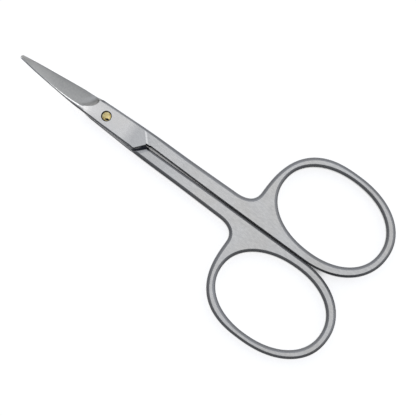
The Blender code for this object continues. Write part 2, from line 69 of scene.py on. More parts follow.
# Grinding run-out, between the deepest grinding and the flat of the lobe.
RUN_OUT_REACH = 0.0072
RUN_OUT_LEAN = 0.0046
RUN_OUT_LENGTH = 0.0016
RUN_OUT_BOW = 0.0012

# End of the lobe, and the shoulder where the shank takes its full thickness.
LOBE_END_REACH = 0.0087
LOBE_END_LEAN = 0.0020
LOBE_CORNER_ROUND = 0.00025
SHOULDER_LEAN = 0.0027
SHOULDER_CLEARANCE = 0.00073
SHOULDER_DRAFT = 0.0001
SHOULDER_ROUND = 0.00035
CREASE_WIDTH = 0.0003
CREASE_DROP = 0.00003
FORGING_SLOPE = 0.0085

# Shanks.
SHANK_THICKNESS = 0.0026
SHANK_RISE = 0.00074
SHANK_GAP = 0.0005
GAP_OPENING = 0.0004
RING_GAP = 0.00012
OUTER_ROUND = 0.00076
INNER_ROUND = 0.0003
INNER_LOW_ROUND = 0.0005

# Finger rings.
RING_CENTRE_REACH = 0.05247
EYE_HALF_LENGTH = 0.01292
EYE_HALF_WIDTH = 0.009
EYE_TURN = radians(1.9)
BAR_OUTER = 0.00177
BAR_INNER = 0.0022
BAR_END = 0.00208
BAR_NECK = 0.0025
TOP_SETBACK = 0.00045
HEEL_ADVANCE = 0.0015
EYE_ROUND = 0.00068
RING_ROUND = 0.0006
NECK_LENGTH = 0.00507
NECK_HEIGHT = 0.0035

# Pivot screw and its holes.
SCREW_RADIUS = 0.00099
SCREW_CLEARANCE = 0.00005
SCREW_DOME = 0.00008
SCREW_SINK = 0.0001
RECESS_RADIUS = 0.00118
RECESS_DEPTH = 0.0003
HEAD_RADIUS = 0.0016
HEAD_THICKNESS = 0.00055
HEAD_SINK = 0.0001
HEAD_BEVEL = 0.0001
SLOT_WIDTH = 0.0004
SLOT_DEPTH = 0.0003
SLOT_TURN = radians(35)
CUT_OVERRUN = 0.0005

# Half widths of the closed pair. A blade station is a share of TIP_REACH, and its width a share of
# LOBE_HALF_WIDTH. A shank station is a share of the reach of the neck, and its width a share of SHANK_RISE.
BLADE_WIDTH_SHARES = (
    (0.978, 0.190),
    (0.895, 0.294),
    (0.797, 0.406),
    (0.606, 0.584),
    (0.410, 0.754),
    (0.267, 0.858),
    (0.120, 0.944),
    (0.0, 1.0),
)
SHANK_WIDTH_SHARES = (
    (0.0, 0.0),
    (0.085, 0.15),
    (0.254, 0.45),
    (0.376, 0.615),
    (0.665, 0.73),
    (1.0, 1.0),
)
# Where the shank's inner side has closed up to the other half, as a share of the reach of the neck.
GAP_CLOSED_SHARE = 0.95
# Roundness of the outline: 2 is an ellipse, and more is fuller.
NECK_FULLNESS = 2.6
RING_CORNER_FULLNESS = 2.6
RING_FULLNESS = 2.17
RING_HEEL_FULLNESS = 2.12
EYE_FULLNESS = 2.13
# How much of the blade's thickness is left at the very end of its tip.
TIP_END_SHARE = 0.35
# How wide the strip beside the grinding is at the tip, how much of the flat it may take, and how fast it
# and the spine's rounding widen.
STRIP_TIP_SHARE = 0.22
STRIP_MOST_SHARE = 0.2
STRIP_POWER = 6.0
SPINE_POWER = 7.0
THINNING_POWER = 1.6

# A rounded edge leaves the flat at its start angle, turns as far as its sweep, and then turns more sharply,
# over a share of its width, to the wall.
EDGE_START = radians(10)
EDGE_SWEEP = radians(42)
EDGE_CORNER_SHARE = 0.2
# A rounding takes no more than this share of the wall or width that it is on.
WALL_SHARE = 0.4
# How hollow the run-out is, where 1 is straight, and how late the rounding changes round the ring's heel.
RUN_OUT_POWER = 1.3
HEEL_ROUND_POWER = 3.0
# The sharpest slant at which a line across a half may cross its outline.
LEAST_SINE = 0.35
# How far to each side of a point of the finger hole its direction is measured.
EYE_SPAN = radians(2)
SHARP_ANGLE = radians(30)

# Numbers of mesh steps.
FLAT_POINTS = 22
ROUND_STEPS = 6
EDGE_CORNER_STEPS = 5
TIP_STEPS = 8
BLADE_STEPS = 44
RUN_OUT_STEPS = 14
LOBE_STEPS = 14
SLOPE_STEPS = 10
SHANK_STEPS = 24
TURNED_STEPS = 96
DOME_STEPS = 12
NECK_STEPS = 28
CORNER_STEPS = 44
RING_STEPS = 36
INNER_STEPS = 28

# Angles of the points of the finger hole that face the ends of the neck, the heel and the inner side.
EYE_NECK_START = radians(250)
EYE_NECK_END = radians(202)
EYE_HEEL_END = radians(-90)
EYE_INNER_END = radians(-107)

# Photograph's view: straight down on the pair, whose tips point up and to the left.
VIEW_TURN = radians(36.265)
VIEW_TILT = radians(3.0)
VIEW_DISTANCE = 0.65
VIEW_TARGET = (0.007126, -0.003017, 0.0020)
VIEW_WIDTH = 0.090336
SENSOR_WIDTH = 36.0
CLIP_RANGE = 100

# How sharply the ground face of a blade starts at the run-out.
GRIND_CRISPNESS = 14

# Painted shade on the blades: at the end of the grinding beside the cutting edge, at the tip, and along the
# cutting edge itself.
SHADE_LENGTH = 0.0017
SHADE_FADE = 0.0007
SHADE_POWER = 1.5
SHADE_END = 0.0014
TIP_DARKNESS = 0.4
TIP_DARK_REACH = 0.0032
EDGE_DARKNESS = 0.42
EDGE_DARK_POWER = 5

# Painted highlights, where the steel is also more polished: a patch on the blade before its painted shade,
# the lobe from the run-out towards the screw, and the crease at the shoulder.
PATCH_REACH = 0.0021
PATCH_HALF_LENGTH = 0.0008
PATCH_SHARE = 0.5
HIGHLIGHT_POWER = 5
HIGHLIGHT_END = 0.0022
HIGHLIGHT_REACH = 0.0050
HIGHLIGHT_SHARE = 0.5
CREASE_HIGHLIGHT = 0.3

# Painted shade: whole in the crevice at the lobe's end and on the notch at the start of the gap, and in part
# down the lobe's near wall, under the lap, in the gap and round the rings' heels.
CREVICE_FADE = 0.00012
CREVICE_MARGIN = 0.0004
NOTCH_LENGTH = 0.00105
NOTCH_WIDTH = 0.0004
OUTER_SHADE_SHARE = 0.5
LAP_SHADE_SHARE = 0.6
LAP_SHADE_REACH = 0.35
GAP_EDGE_SHARE = 0.3
GAP_SHADE_POWER = 2
HEEL_EDGE_SHARE = 0.5
HEEL_FADE_STEPS = 24
HEEL_DARKNESS = 2

# How the polish and painted light change along the pair, measured from the pivot. The polish, with a painted
# sheen, is highest on the lobes and lowest on the rings, the start of the shanks has painted shade, and the
# ground faces have a painted highlight towards the tip.
POLISHED_FROM = 0.0
POLISHED_UP_TO = 0.055
SLOW_POLISH_SHARE = 0.65
RUBBED_FROM = 0.0050
RUBBED_UP_TO = 0.0075
SHANK_SHADE_FROM = 0.0130
SHANK_SHADE_UP_TO = 0.0260
TIP_HIGHLIGHT_FROM = 0.0120
TIP_HIGHLIGHT_UP_TO = 0.0180

# Colours of the steel, with those of its painted sheen, highlights and shade, and how much of some of them is
# mixed in.
SATIN_COLOUR = (0.449, 0.441, 0.423)
PAINTED_SHEEN_COLOUR = (0.581, 0.568, 0.543)
CLOUD_COLOUR = (0.53, 0.55, 0.57)
CLOUD_SHARE = 0.25
SHANK_SHADE_COLOUR = (0.31, 0.315, 0.32)
SHANK_SHADE_SHARE = 0.35
GROUND_DARK_COLOUR = (0.646, 0.636, 0.588)
GROUND_LIGHT_COLOUR = (0.775, 0.757, 0.698)
TIP_HIGHLIGHT_COLOUR = (0.985, 0.963, 0.888)
TIP_HIGHLIGHT_SHARE = 0.5
BLADE_SHADE_COLOUR = (0.18, 0.183, 0.188)
BLADE_SHADE_SHARE = 0.85
PAINTED_HIGHLIGHT_COLOUR = (0.94, 0.93, 0.905)
PAINTED_SHADE_COLOUR = (0.014, 0.015, 0.02)

# Colours of the brass, and of the painted shade in its dent.
BRASS_DARK_COLOUR = (0.66, 0.50, 0.17)
BRASS_LIGHT_COLOUR = (0.96, 0.83, 0.44)
DENT_SHADE_COLOUR = (0.03, 0.032, 0.05)

# Grain: the noise that makes it, and the part of the noise that counts.
CLOUD_NOISE = {"scale": 180, "detail": 3.0}
SATIN_NOISE = {"scale": 3400, "detail": 3.0, "stretch": (0.35, 1, 1)}
LINE_NOISE = {"scale": 6500, "stretch": (0.06, 1, 1)}
GROUND_NOISE = {"scale": 3800, "stretch": (1, 0.35, 1), "turn": radians(20)}
BRASS_NOISE = {"scale": 2200, "detail": 3.0}
FILED_NOISE = {"scale": 5200, "stretch": (1, 0.12, 1), "turn": radians(30)}
GRAIN_RANGE = (0.3, 0.7)
CLOUD_RANGE = (0.35, 0.65)
BRASS_RANGE = (0.38, 0.62)

# Roughness, from the low to the high end of the grain, and bump.
SATIN_ROUGHNESS = (0.26, 0.30)
POLISHED_ROUGHNESS = (0.20, 0.23)
GROUND_ROUGHNESS = (0.38, 0.50)
STRIP_ROUGHNESS = 0.16
BRASS_ROUGHNESS = (0.24, 0.40)
BUMP_DEPTH = 0.00001
STEEL_BUMP = 0.12
SATIN_BUMP_SHARE = 0.075
BRASS_BUMP = 0.5

# The brass end is spread a little to one side, and has a dent from a punch.
SCREW_SPREAD = (0.00008, -0.00002)
DENT_PLACE = (0.00050, -0.00047)
DENT_LENGTH = 0.0009
DENT_WIDTH = 0.0004
DENT_DEPTH = 0.00018
DENT_TURN = radians(24)
DENT_ROUND_STEPS = 32
DENT_DOWN_STEPS = 16

# How far an edge of the halves turns before it is shaded as sharp.
FINE_SHARP_ANGLE = radians(10.5)

# Floor. Its glow makes it white to the camera, and fades where the pair is close.
FLOOR_HALF = 3.0
FLOOR_COLOUR = (0.80, 0.80, 0.80)
FLOOR_GLOW = 0.745
SHADOW_REACH = 0.0017
SHADOW_SAMPLES = 8
OPEN_FLOOR_SHARE = 0.48

# Light: a soft lamp above, and a sky that is brighter towards the top of the photograph, with one more
# soft light in it on that side and one to the right.
LAMP_SIZE = 0.78
LAMP_DISTANCE = 3.0
LAMP_POWER = 2.15
LAMP_LEAN_X = radians(2.6)
LAMP_LEAN_Y = radians(3)
SKY_COLOUR = (0.94, 0.98, 1.085)
SKY_LOW = 0.13
SKY_RISE = 0.25
SKY_RISE_LEAN = radians(60)
SKY_RISE_FROM = -0.64
SKY_RISE_UP_TO = 0.86
SKY_TOP = 0.34
SKY_TOP_LEAN = radians(18)
SKY_TOP_REACH = radians(44)
SKY_SIDE = 0.34
SKY_SIDE_PLACE = (0.62, 0.42, 0.80)
SKY_SIDE_REACH = radians(38)
SKY_POWER = 2.0
SKY_SIDE_POWER = 1.5

# Places worked out from the sizes above.
LAP_LEVEL = LAP_CLEARANCE / 2
LOBE_LEVEL = LAP_LEVEL + LOBE_THICKNESS
SHANK_LEVEL = SHANK_THICKNESS / 2
FLAT_RADIUS = LOBE_HALF_WIDTH + CURVE_START
RUN_OUT_HIGH = RUN_OUT_LEAN - RUN_OUT_REACH
LOBE_END_FAR = LOBE_END_REACH + LOBE_END_LEAN
OUTLINE_STEP = TIP_RADIUS / 8
RING_CENTRE_Y = RING_GAP / 2 + BAR_INNER + EYE_HALF_WIDTH
RING_REACH = RING_CENTRE_REACH + EYE_HALF_LENGTH + BAR_END
RING_LEFT = RING_CENTRE_REACH - EYE_HALF_LENGTH - BAR_NECK
RING_TOP = RING_CENTRE_Y + EYE_HALF_WIDTH + BAR_OUTER
RIM_CENTRE_X = RING_CENTRE_REACH - TOP_SETBACK
RIM_CENTRE_Y = (RING_TOP + RING_GAP / 2) / 2
RIM_HALF_LENGTH = RING_REACH - RIM_CENTRE_X
RIM_HALF_WIDTH = RING_TOP - RIM_CENTRE_Y
NECK_REACH = RING_LEFT - NECK_LENGTH
PIVOT_X = (TIP_REACH - RING_REACH) / 2
PIVOT_Z = LOBE_LEVEL
BORE_RADIUS = SCREW_RADIUS + SCREW_CLEARANCE
FLAT_COUNT = FLAT_POINTS - 2
SIDE_COUNT = 2 * (ROUND_STEPS + EDGE_CORNER_STEPS + 1)
LOWER_FIRST = FLAT_COUNT + SIDE_COUNT
FAR_FIRST = LOWER_FIRST + FLAT_COUNT
LAST_FACE = FAR_FIRST + SIDE_COUNT - 1
LAP_SHADE_END = LOWER_FIRST + int(FLAT_COUNT * LAP_SHADE_REACH)


def clamp(value):
    return max(0.0, min(1.0, value))


def smooth_value(table, x):
    """The height at x of a smooth curve through the table's (x, y) rows, which rise or fall in x."""
    rows = sorted(table)
    if x <= rows[0][0]:
        return rows[0][1]
    if x >= rows[-1][0]:
        return rows[-1][1]
    slopes = []
    for i in range(len(rows)):
        low = rows[max(i - 1, 0)]
        high = rows[min(i + 1, len(rows) - 1)]
        slopes.append((high[1] - low[1]) / (high[0] - low[0]))
    for i in range(len(rows) - 1):
        (x0, y0), (x1, y1) = rows[i], rows[i + 1]
        if x <= x1:
            break
    step = x1 - x0
    t = (x - x0) / step
    return (
        y0 * (1 + 2 * t) * (1 - t) ** 2
        + slopes[i] * step * t * (1 - t) ** 2
        + y1 * t * t * (3 - 2 * t)
        - slopes[i + 1] * step * t * t * (1 - t)
    )


def pair_half_width(x):
    """Half the width of the closed pair at x, without its rings."""
    if x < 0:
        tip_centre = TIP_REACH - TIP_RADIUS
        if -x > tip_centre:
            return max(TIP_RADIUS**2 - (-x - tip_centre) ** 2, 0.0) ** 0.5
        return LOBE_HALF_WIDTH * smooth_value(BLADE_WIDTH_SHARES, -x / TIP_REACH)
    return LOBE_HALF_WIDTH + SHANK_RISE * smooth_value(SHANK_WIDTH_SHARES, x / NECK_REACH)


def near_edge(x):
    """The side of a half that its own ring is on: its cutting edge, its lobe and its shank's outer side."""
    width = pair_half_width(x)
    ground = clamp((RUN_OUT_HIGH - x) / RUN_OUT_LENGTH)
    setback = EDGE_SETBACK * clamp(width / LOBE_HALF_WIDTH) * ground
    return width - setback


def inner_gap(x):
    """Half the gap between the shanks at x. It opens past the shoulder, and closes up towards the rings."""
    opened = clamp((x - LOBE_END_FAR - SHOULDER_CLEARANCE) / GAP_OPENING)
    closed = clamp((x - LOBE_END_FAR) / (GAP_CLOSED_SHARE * NECK_REACH - LOBE_END_FAR))
    return (RING_GAP + (SHANK_GAP - RING_GAP) * opened * (1 - closed)) / 2


def far_edge(x):
    """The other side of a half: its spine, its lobe's far side and end, and its shank's inner side."""
    if x >= LOBE_END_FAR:
        return inner_gap(x)
    corner = LOBE_INSET - pair_half_width(LOBE_END_REACH)
    steepness = (inner_gap(LOBE_END_FAR) - corner) / LOBE_END_LEAN
    past_corner = x - LOBE_END_REACH
    if past_corner > LOBE_CORNER_ROUND:
        return corner + steepness * past_corner
    inset = LOBE_INSET * clamp((x + RUN_OUT_REACH) / (LOBE_END_REACH + RUN_OUT_REACH))
    turned = clamp((past_corner / LOBE_CORNER_ROUND + 1) / 2)
    return inset - pair_half_width(min(x, LOBE_END_REACH)) + steepness * LOBE_CORNER_ROUND * turned**2


def stations():
    """Lines across a half, from its far edge to its near edge, from the tip to the neck. Each row is
    the x of both ends, the outer and inner face's level, how fully the line is ground, and its bow."""
    rows = []

    def fill(steps, far_x, near_x, outer=LOBE_LEVEL, inner=LAP_LEVEL, ground=0.0, bow=0.0):
        last = rows[-1]
        goal = (far_x, near_x, outer, inner, ground, bow)
        for step in range(1, steps + 1):
            share = step / steps
            rows.append(tuple(a + (b - a) * share for a, b in zip(last, goal)))

    def fill_leaning(steps, far_x, outer=LOBE_LEVEL, inner=LAP_LEVEL):
        fill(steps, far_x, far_x - SHOULDER_LEAN, outer, inner)

    for step in range(TIP_STEPS, -1, -1):
        x = TIP_RADIUS * (1 - sin(pi * step / (2 * TIP_STEPS + 1))) - TIP_REACH
        rows.append((x, x, LOBE_LEVEL, LAP_LEVEL, 1.0, 0.0))
    deep_far = -RUN_OUT_REACH - RUN_OUT_LENGTH / 2
    fill(BLADE_STEPS, deep_far, RUN_OUT_HIGH - RUN_OUT_LENGTH, ground=1.0, bow=RUN_OUT_BOW)
    fill(RUN_OUT_STEPS, -RUN_OUT_REACH, RUN_OUT_HIGH, bow=RUN_OUT_BOW)
    fill(LOBE_STEPS, 0.0, 0.0)
    fill_leaning(LOBE_STEPS, LOBE_END_REACH - LOBE_CORNER_ROUND)
    fill_leaning(ROUND_STEPS, LOBE_END_REACH + LOBE_CORNER_ROUND)
    fill_leaning(LOBE_STEPS, LOBE_END_FAR)

    # The outer face drops at the crease, and then slopes down to the shank. The inner face has a wall.
    crease_far = LOBE_END_FAR + SHOULDER_CLEARANCE / 2
    shoulder_far = LOBE_END_FAR + SHOULDER_CLEARANCE
    below_crease = LOBE_LEVEL - CREASE_DROP
    fill_leaning(1, crease_far)
    fill_leaning(1, crease_far + CREASE_WIDTH, below_crease)
    fill_leaning(1, shoulder_far, below_crease)
    wall_far = shoulder_far + SHOULDER_DRAFT
    wall_end = SHOULDER_ROUND - SHANK_LEVEL
    fill_leaning(1, wall_far, below_crease, wall_end)
    for step in range(1, ROUND_STEPS + 1):
        turn = pi / 2 * step / ROUND_STEPS
        round_far = wall_far + SHOULDER_ROUND * (1 - cos(turn))
        fill_leaning(1, round_far, below_crease, wall_end - SHOULDER_ROUND * sin(turn))
    flat_x = LOBE_END_FAR + FORGING_SLOPE
    fill(SLOPE_STEPS, flat_x, flat_x, SHANK_LEVEL, -SHANK_LEVEL)
    fill(SHANK_STEPS, NECK_REACH, NECK_REACH, SHANK_LEVEL, -SHANK_LEVEL)
    return rows


def lift(x, y):
    """How far the blades rise at a point. It depends on the distance from the pivot alone, so that the
    two blades stay a constant distance apart at every opening."""
    reach = hypot(x, y) - FLAT_RADIUS
    if x >= 0 or reach <= 0:
        return 0.0
    return reach**2 / (2 * CURVE_RADIUS)


def tip_share(x, y):
    """0 at the lobe, rising to 1 at the tip."""
    if x >= 0:
        return 0.0
    return clamp((hypot(x, y) - FLAT_RADIUS) / (TIP_REACH - FLAT_RADIUS))


def spine_level(x, y, station_level):
    """The outer face's level before grinding. It thins out towards the tip, and rounds down at its end."""
    level = station_level - (LOBE_THICKNESS - TIP_THICKNESS) * tip_share(x, y) ** THINNING_POWER
    past_centre = clamp((TIP_RADIUS - TIP_REACH - x) / TIP_RADIUS)
    rounded = TIP_END_SHARE + (1 - TIP_END_SHARE) * (1 - past_centre**2) ** 0.5
    return LAP_LEVEL + (level - LAP_LEVEL) * rounded


def rounded_edge(width):
    """Points down a rounded edge, from the flat to the wall, as distances in from the wall and below
    the flat."""
    corner = EDGE_CORNER_SHARE * width
    radius = (width - corner * (1 - sin(EDGE_SWEEP))) / (sin(EDGE_SWEEP) - sin(EDGE_START))
    points = []
    for step in range(ROUND_STEPS + 1):
        turn = EDGE_START + (EDGE_SWEEP - EDGE_START) * step / ROUND_STEPS
        in_by = width - radius * (sin(turn) - sin(EDGE_START))
        points.append((in_by, radius * (cos(EDGE_START) - cos(turn))))
    depth = radius * (cos(EDGE_START) - cos(EDGE_SWEEP)) + corner * cos(EDGE_SWEEP)
    for step in range(1, EDGE_CORNER_STEPS + 1):
        turn = EDGE_SWEEP + (pi / 2 - EDGE_SWEEP) * step / EDGE_CORNER_STEPS
        points.append((corner * (1 - sin(turn)), depth - corner * cos(turn)))
    return points


def side_profile(edge, inward, slant, top, bottom, top_round, bottom_round):
    """Points down one side of a half, from the top flat's edge, round it, down the wall and round to the
    bottom flat's edge. slant lengthens the rounding where the line across isn't square to the side."""
    points = []
    for in_by, down in rounded_edge(top_round):
        points.append(Vector((*(edge + inward * in_by * slant), top - down)))
    for in_by, up in reversed(rounded_edge(bottom_round)):
        points.append(Vector((*(edge + inward * in_by * slant), bottom + up)))
    return points


def slant_of(edge_line, x, across):
    """1 over the sine of the angle between the line across and the outline at x."""
    rise = edge_line(x + OUTLINE_STEP) - edge_line(x - OUTLINE_STEP)
    ahead = Vector((2 * OUTLINE_STEP, rise)).normalized()
    return 1 / max(abs(ahead.cross(across)), LEAST_SINE)


def across_station(row):
    """One closed loop round a half: its top flat, near side, bottom flat and far side."""
    far_x, near_x, outer, inner, ground, bow = row
    far = Vector((far_x, far_edge(far_x)))
    near = Vector((near_x, near_edge(near_x)))
    across = (near - far).normalized()
    on_lobe = inner > 0
    from_tip = clamp((far_x + TIP_REACH) / (TIP_REACH - RUN_OUT_REACH))
    grind = 1 - (1 - ground) ** RUN_OUT_POWER

    # Roundings: the spine's widens from the tip, and narrows again round the corner of the lobe's end.
    spine = spine_level(far.x, far.y, outer)
    full = spine_level(near.x, near.y, outer)
    near_top = full + (LAP_LEVEL + EDGE_THICKNESS - full) * grind
    if far_x < -RUN_OUT_REACH:
        far_round = SPINE_ROUND + (LOBE_FAR_ROUND - SPINE_ROUND) * from_tip**SPINE_POWER
    elif far_x < LOBE_END_FAR:
        turned = clamp(((far_x - LOBE_END_REACH) / LOBE_CORNER_ROUND + 1) / 2)
        far_round = LOBE_FAR_ROUND + (LOBE_END_ROUND - LOBE_FAR_ROUND) * turned
    else:
        far_round = INNER_ROUND
    sloped = clamp((far_x - LOBE_END_FAR) / FORGING_SLOPE)
    near_round = LOBE_NEAR_ROUND + (OUTER_ROUND - LOBE_NEAR_ROUND) * sloped
    far_low_round = LAP_EDGE_ROUND if on_lobe else INNER_LOW_ROUND
    near_low_round = LAP_EDGE_ROUND if on_lobe else OUTER_ROUND
    width = (near - far).length
    far_round = WALL_SHARE * min(far_round / WALL_SHARE, spine - inner, width)
    near_round = WALL_SHARE * min(near_round / WALL_SHARE, near_top - inner, width)
    near_low_round = min(near_low_round, WALL_SHARE * (near_top - inner))
    far_low_round = min(far_low_round, WALL_SHARE * (spine - inner))
    far_slant = slant_of(far_edge, far_x, across)
    near_slant = slant_of(near_edge, near_x, across)
    if far_x < TIP_RADIUS - TIP_REACH:
        far_slant = near_slant = 1.0
    far_side = side_profile(far, across, far_slant, spine, inner, far_round, far_low_round)
    near_side = side_profile(near, -across, near_slant, near_top, inner, near_round, near_low_round)

    # Flats: the strip beside the grinding, then even steps. A ground line falls to the cutting edge.
    top_far, top_near = far_side[0], near_side[0]
    flat = (top_near - top_far).to_2d().length
    even_share = 1 / (FLAT_POINTS - 1)
    strip = GRIND_STRIP * (STRIP_TIP_SHARE + (1 - STRIP_TIP_SHARE) * from_tip**STRIP_POWER)
    strip_share = min(strip / flat, STRIP_MOST_SHARE)
    first = strip_share + (even_share - strip_share) * clamp(1 + far_x / RUN_OUT_REACH)
    shares = [first + (1 - first) * step / (FLAT_POINTS - 2) for step in range(FLAT_POINTS - 2)]
    top = []
    bottom = []
    for share in shares:
        bend = 4 * bow * share * (1 - share)
        spot = top_far.to_2d().lerp(top_near.to_2d(), share) + Vector((bend, 0))
        level = spine_level(spot.x, spot.y, outer)
        down = (share - first) / (1 - first)
        bulge = 4 * GRIND_BULGE * down * (1 - down) * (level - LAP_LEVEL) / LOBE_THICKNESS
        cut = level + (LAP_LEVEL + EDGE_THICKNESS - level) * down + bulge
        top.append(Vector((*spot, level + (cut - level) * grind)))
        spot = far_side[-1].to_2d().lerp(near_side[-1].to_2d(), share) + Vector((bend, 0))
        bottom.append(Vector((*spot, inner)))
    return top, near_side, bottom[::-1], far_side[::-1]


def superellipse(centre, half_length, half_width, fullness, turn):
    """The point at an angle on a superellipse, which passes through its ends at every quarter turn."""
    c, s = cos(turn), sin(turn)
    across = half_length * abs(c) ** (2 / fullness)
    up = half_width * abs(s) ** (2 / fullness)
    return Vector((centre[0] + (across if c > 0 else -across), centre[1] + (up if s > 0 else -up)))


def rim_outline():
    """The outline of the ring, from the shank's outer side round to its inner side. Each row is a point,
    its upper and lower rounding and the angle of the point of the finger hole that faces it."""
    rows = []
    neck_centre = (NECK_REACH, near_edge(NECK_REACH) + NECK_HEIGHT)
    for step in range(1, NECK_STEPS + 1):
        share = step / NECK_STEPS
        turn = pi / 2 * (share - 1)
        point = superellipse(neck_centre, NECK_LENGTH, NECK_HEIGHT, NECK_FULLNESS, turn)
        faced = EYE_NECK_START + (EYE_NECK_END - EYE_NECK_START) * share
        rows.append((point, OUTER_ROUND, OUTER_ROUND, faced))
    corner = (RIM_CENTRE_X, neck_centre[1], RIM_CENTRE_X - RING_LEFT, RING_TOP - neck_centre[1])
    rim = (RIM_CENTRE_X, RIM_CENTRE_Y, RIM_HALF_LENGTH, RIM_HALF_WIDTH)
    for step in range(CORNER_STEPS):
        share = step / CORNER_STEPS
        turn = pi * (1 - share / 2)
        point = superellipse(corner[:2], *corner[2:], RING_CORNER_FULLNESS, turn)
        rounding = OUTER_ROUND + (RING_ROUND - OUTER_ROUND) * share
        rows.append((point, rounding, rounding, EYE_NECK_END + (pi / 2 - EYE_NECK_END) * share))
    for step in range(RING_STEPS):
        turn = pi / 2 * (1 - step / RING_STEPS)
        rows.append((superellipse(rim[:2], *rim[2:], RING_FULLNESS, turn), RING_ROUND, RING_ROUND, turn))
    heel_x = RIM_CENTRE_X + HEEL_ADVANCE
    heel = (heel_x, RIM_CENTRE_Y, RIM_HALF_LENGTH - HEEL_ADVANCE, RIM_HALF_WIDTH)
    for step in range(RING_STEPS):
        share = step / RING_STEPS
        turn = -pi / 2 * share
        high_round = RING_ROUND + (INNER_ROUND - RING_ROUND) * share**HEEL_ROUND_POWER
        low_round = RING_ROUND + (INNER_LOW_ROUND - RING_ROUND) * share**HEEL_ROUND_POWER
        point = superellipse(heel[:2], *heel[2:], RING_HEEL_FULLNESS, turn)
        rows.append((point, high_round, low_round, turn))
    for step in range(INNER_STEPS):
        share = step / INNER_STEPS
        x = heel_x + (NECK_REACH - heel_x) * share
        y = RING_GAP / 2 + (inner_gap(NECK_REACH) - RING_GAP / 2) * share
        faced = EYE_HEEL_END + (EYE_INNER_END - EYE_HEEL_END) * share
        rows.append((Vector((x, y)), INNER_ROUND, INNER_LOW_ROUND, faced))
    return rows


def ring_profiles(first, last):
    """Side profiles round the rim, from the last station's near side to its far side, and round the
    finger hole, one hole profile to each rim profile and to each point between the two sides."""
    rows = rim_outline()
    wall = ROUND_STEPS + EDGE_CORNER_STEPS
    points = [first[wall].to_2d()] + [row[0] for row in rows] + [last[wall].to_2d()]
    rim = [first]
    for i, (point, high_round, low_round, _) in enumerate(rows, start=1):
        along = (points[i + 1] - points[i - 1]).normalized()
        inward = Vector((along.y, -along.x))
        rim.append(side_profile(point, inward, 1.0, SHANK_LEVEL, -SHANK_LEVEL, high_round, low_round))
    rim.append(last)
    turns = [EYE_NECK_START] + [row[3] for row in rows] + [EYE_INNER_END]
    flat_steps = FLAT_POINTS - 1
    left = EYE_NECK_START - 2 * pi - EYE_INNER_END
    turns += [EYE_INNER_END + left * step / flat_steps for step in range(1, flat_steps)]
    hole = []
    centre = Vector((RING_CENTRE_REACH, RING_CENTRE_Y))
    lean = Matrix.Rotation(-EYE_TURN, 2)
    for turn in turns:
        point, ahead, behind = (
            superellipse((0, 0), EYE_HALF_LENGTH, EYE_HALF_WIDTH, EYE_FULLNESS, turn + aside)
            for aside in (0, EYE_SPAN, -EYE_SPAN)
        )
        along = lean @ (ahead - behind).normalized()
        out = Vector((along.y, -along.x))
        edge = centre + lean @ point
        hole.append(side_profile(edge, out, 1.0, SHANK_LEVEL, -SHANK_LEVEL, EYE_ROUND, EYE_ROUND))
    return rim, hole


def crevice_share(station_x, x, y):
    """Painted shade of the crevice between the end of the other half's lobe and this half's shoulder: 1 in
    it, 0 elsewhere.
    """
    corner_y = pair_half_width(LOBE_END_REACH) - LOBE_INSET
    down_line = (corner_y - y) / (corner_y + inner_gap(LOBE_END_FAR))
    past_line = x - LOBE_END_REACH - LOBE_END_LEAN * down_line
    before_top = LOBE_END_FAR + SHOULDER_CLEARANCE + SHOULDER_DRAFT + SHOULDER_ROUND - station_x
    inside = clamp((near_edge(x) - y) / CREVICE_MARGIN)
    return inside * clamp(1 + past_line / CREVICE_FADE) * clamp(before_top / SHOULDER_ROUND)


def notch_share(x, y):
    """Painted shade on the corner at the start of the gap, where the crevice's painted shade comes up: 1
    there, 0 elsewhere.
    """
    past = clamp(1 + (x - LOBE_END_FAR) / CREVICE_FADE)
    before = clamp((LOBE_END_FAR + NOTCH_LENGTH - x) / CREVICE_FADE)
    return past * before * clamp((NOTCH_WIDTH - y) / CREVICE_FADE)


def past_run_out(x, y):
    """How far a point is past the run-out, and how far across the blade, from 0 at the cutting edge to 1
    at the spine."""
    across = clamp((LOBE_HALF_WIDTH - y) / (2 * LOBE_HALF_WIDTH))
    return x + RUN_OUT_REACH - (RUN_OUT_LEAN + 4 * RUN_OUT_BOW * across) * (1 - across), across


def highlight_share(x, y):
    """How much painted highlight, with polish, the lobe gets: most beside the spine's strip, and less towards
    the screw.
    """
    past, across = past_run_out(x, y)
    beside = across**HIGHLIGHT_POWER * clamp(1 - past / HIGHLIGHT_END)
    return max(beside, HIGHLIGHT_SHARE * across * clamp(1 - past / HIGHLIGHT_REACH))


def blade_shade_shares(x, y):
    """How much painted shade the end of the grinding and the tip get, and how much painted highlight the
    patch before that end gets.
    """
    past, across = past_run_out(x, y)
    by_edge = (1 - across) ** SHADE_POWER
    dark = by_edge * clamp((SHADE_LENGTH + past) / SHADE_FADE)
    bright = by_edge * clamp(1 - abs(past + PATCH_REACH) / PATCH_HALF_LENGTH)
    at_tip = TIP_DARKNESS * clamp(1 - (x + TIP_REACH) / TIP_DARK_REACH)
    return max(dark, at_tip), PATCH_SHARE * bright


def gap_shares(edge_share):
    """How much painted shade there is at each point down the side that faces the gap."""
    wall = ROUND_STEPS + EDGE_CORNER_STEPS
    down = [(step / wall) ** GAP_SHADE_POWER for step in range(wall + 1)]
    shares = [edge_share + (1 - edge_share) * share for share in down]
    return shares + shares[::-1]


def point_marks(row, x, y):
    """How strongly each kind of finish shows at a point of a station, whichever face it is on."""
    far_x, near_x, _, _, ground, _ = row
    ground = clamp(GRIND_CRISPNESS * ground)
    dark, patch = blade_shade_shares(x, y)
    past_crease = far_x - LOBE_END_FAR - SHOULDER_CLEARANCE / 2
    crease = CREASE_HIGHLIGHT * clamp(1 - abs(past_crease) / CREASE_WIDTH)
    highlight_and_polish = max(highlight_share(x, y), crease)
    return {
        "ground": ground,
        "blade_shade": dark * ground,
        "edge_shade": dark * clamp(1 - (near_x - RUN_OUT_HIGH) / SHADE_END),
        "highlight_and_polish": highlight_and_polish + (patch - highlight_and_polish) * ground,
        "notch": notch_share(x, y),
        "crevice": crevice_share(far_x, x, y),
        "gap": 0.0,
    }


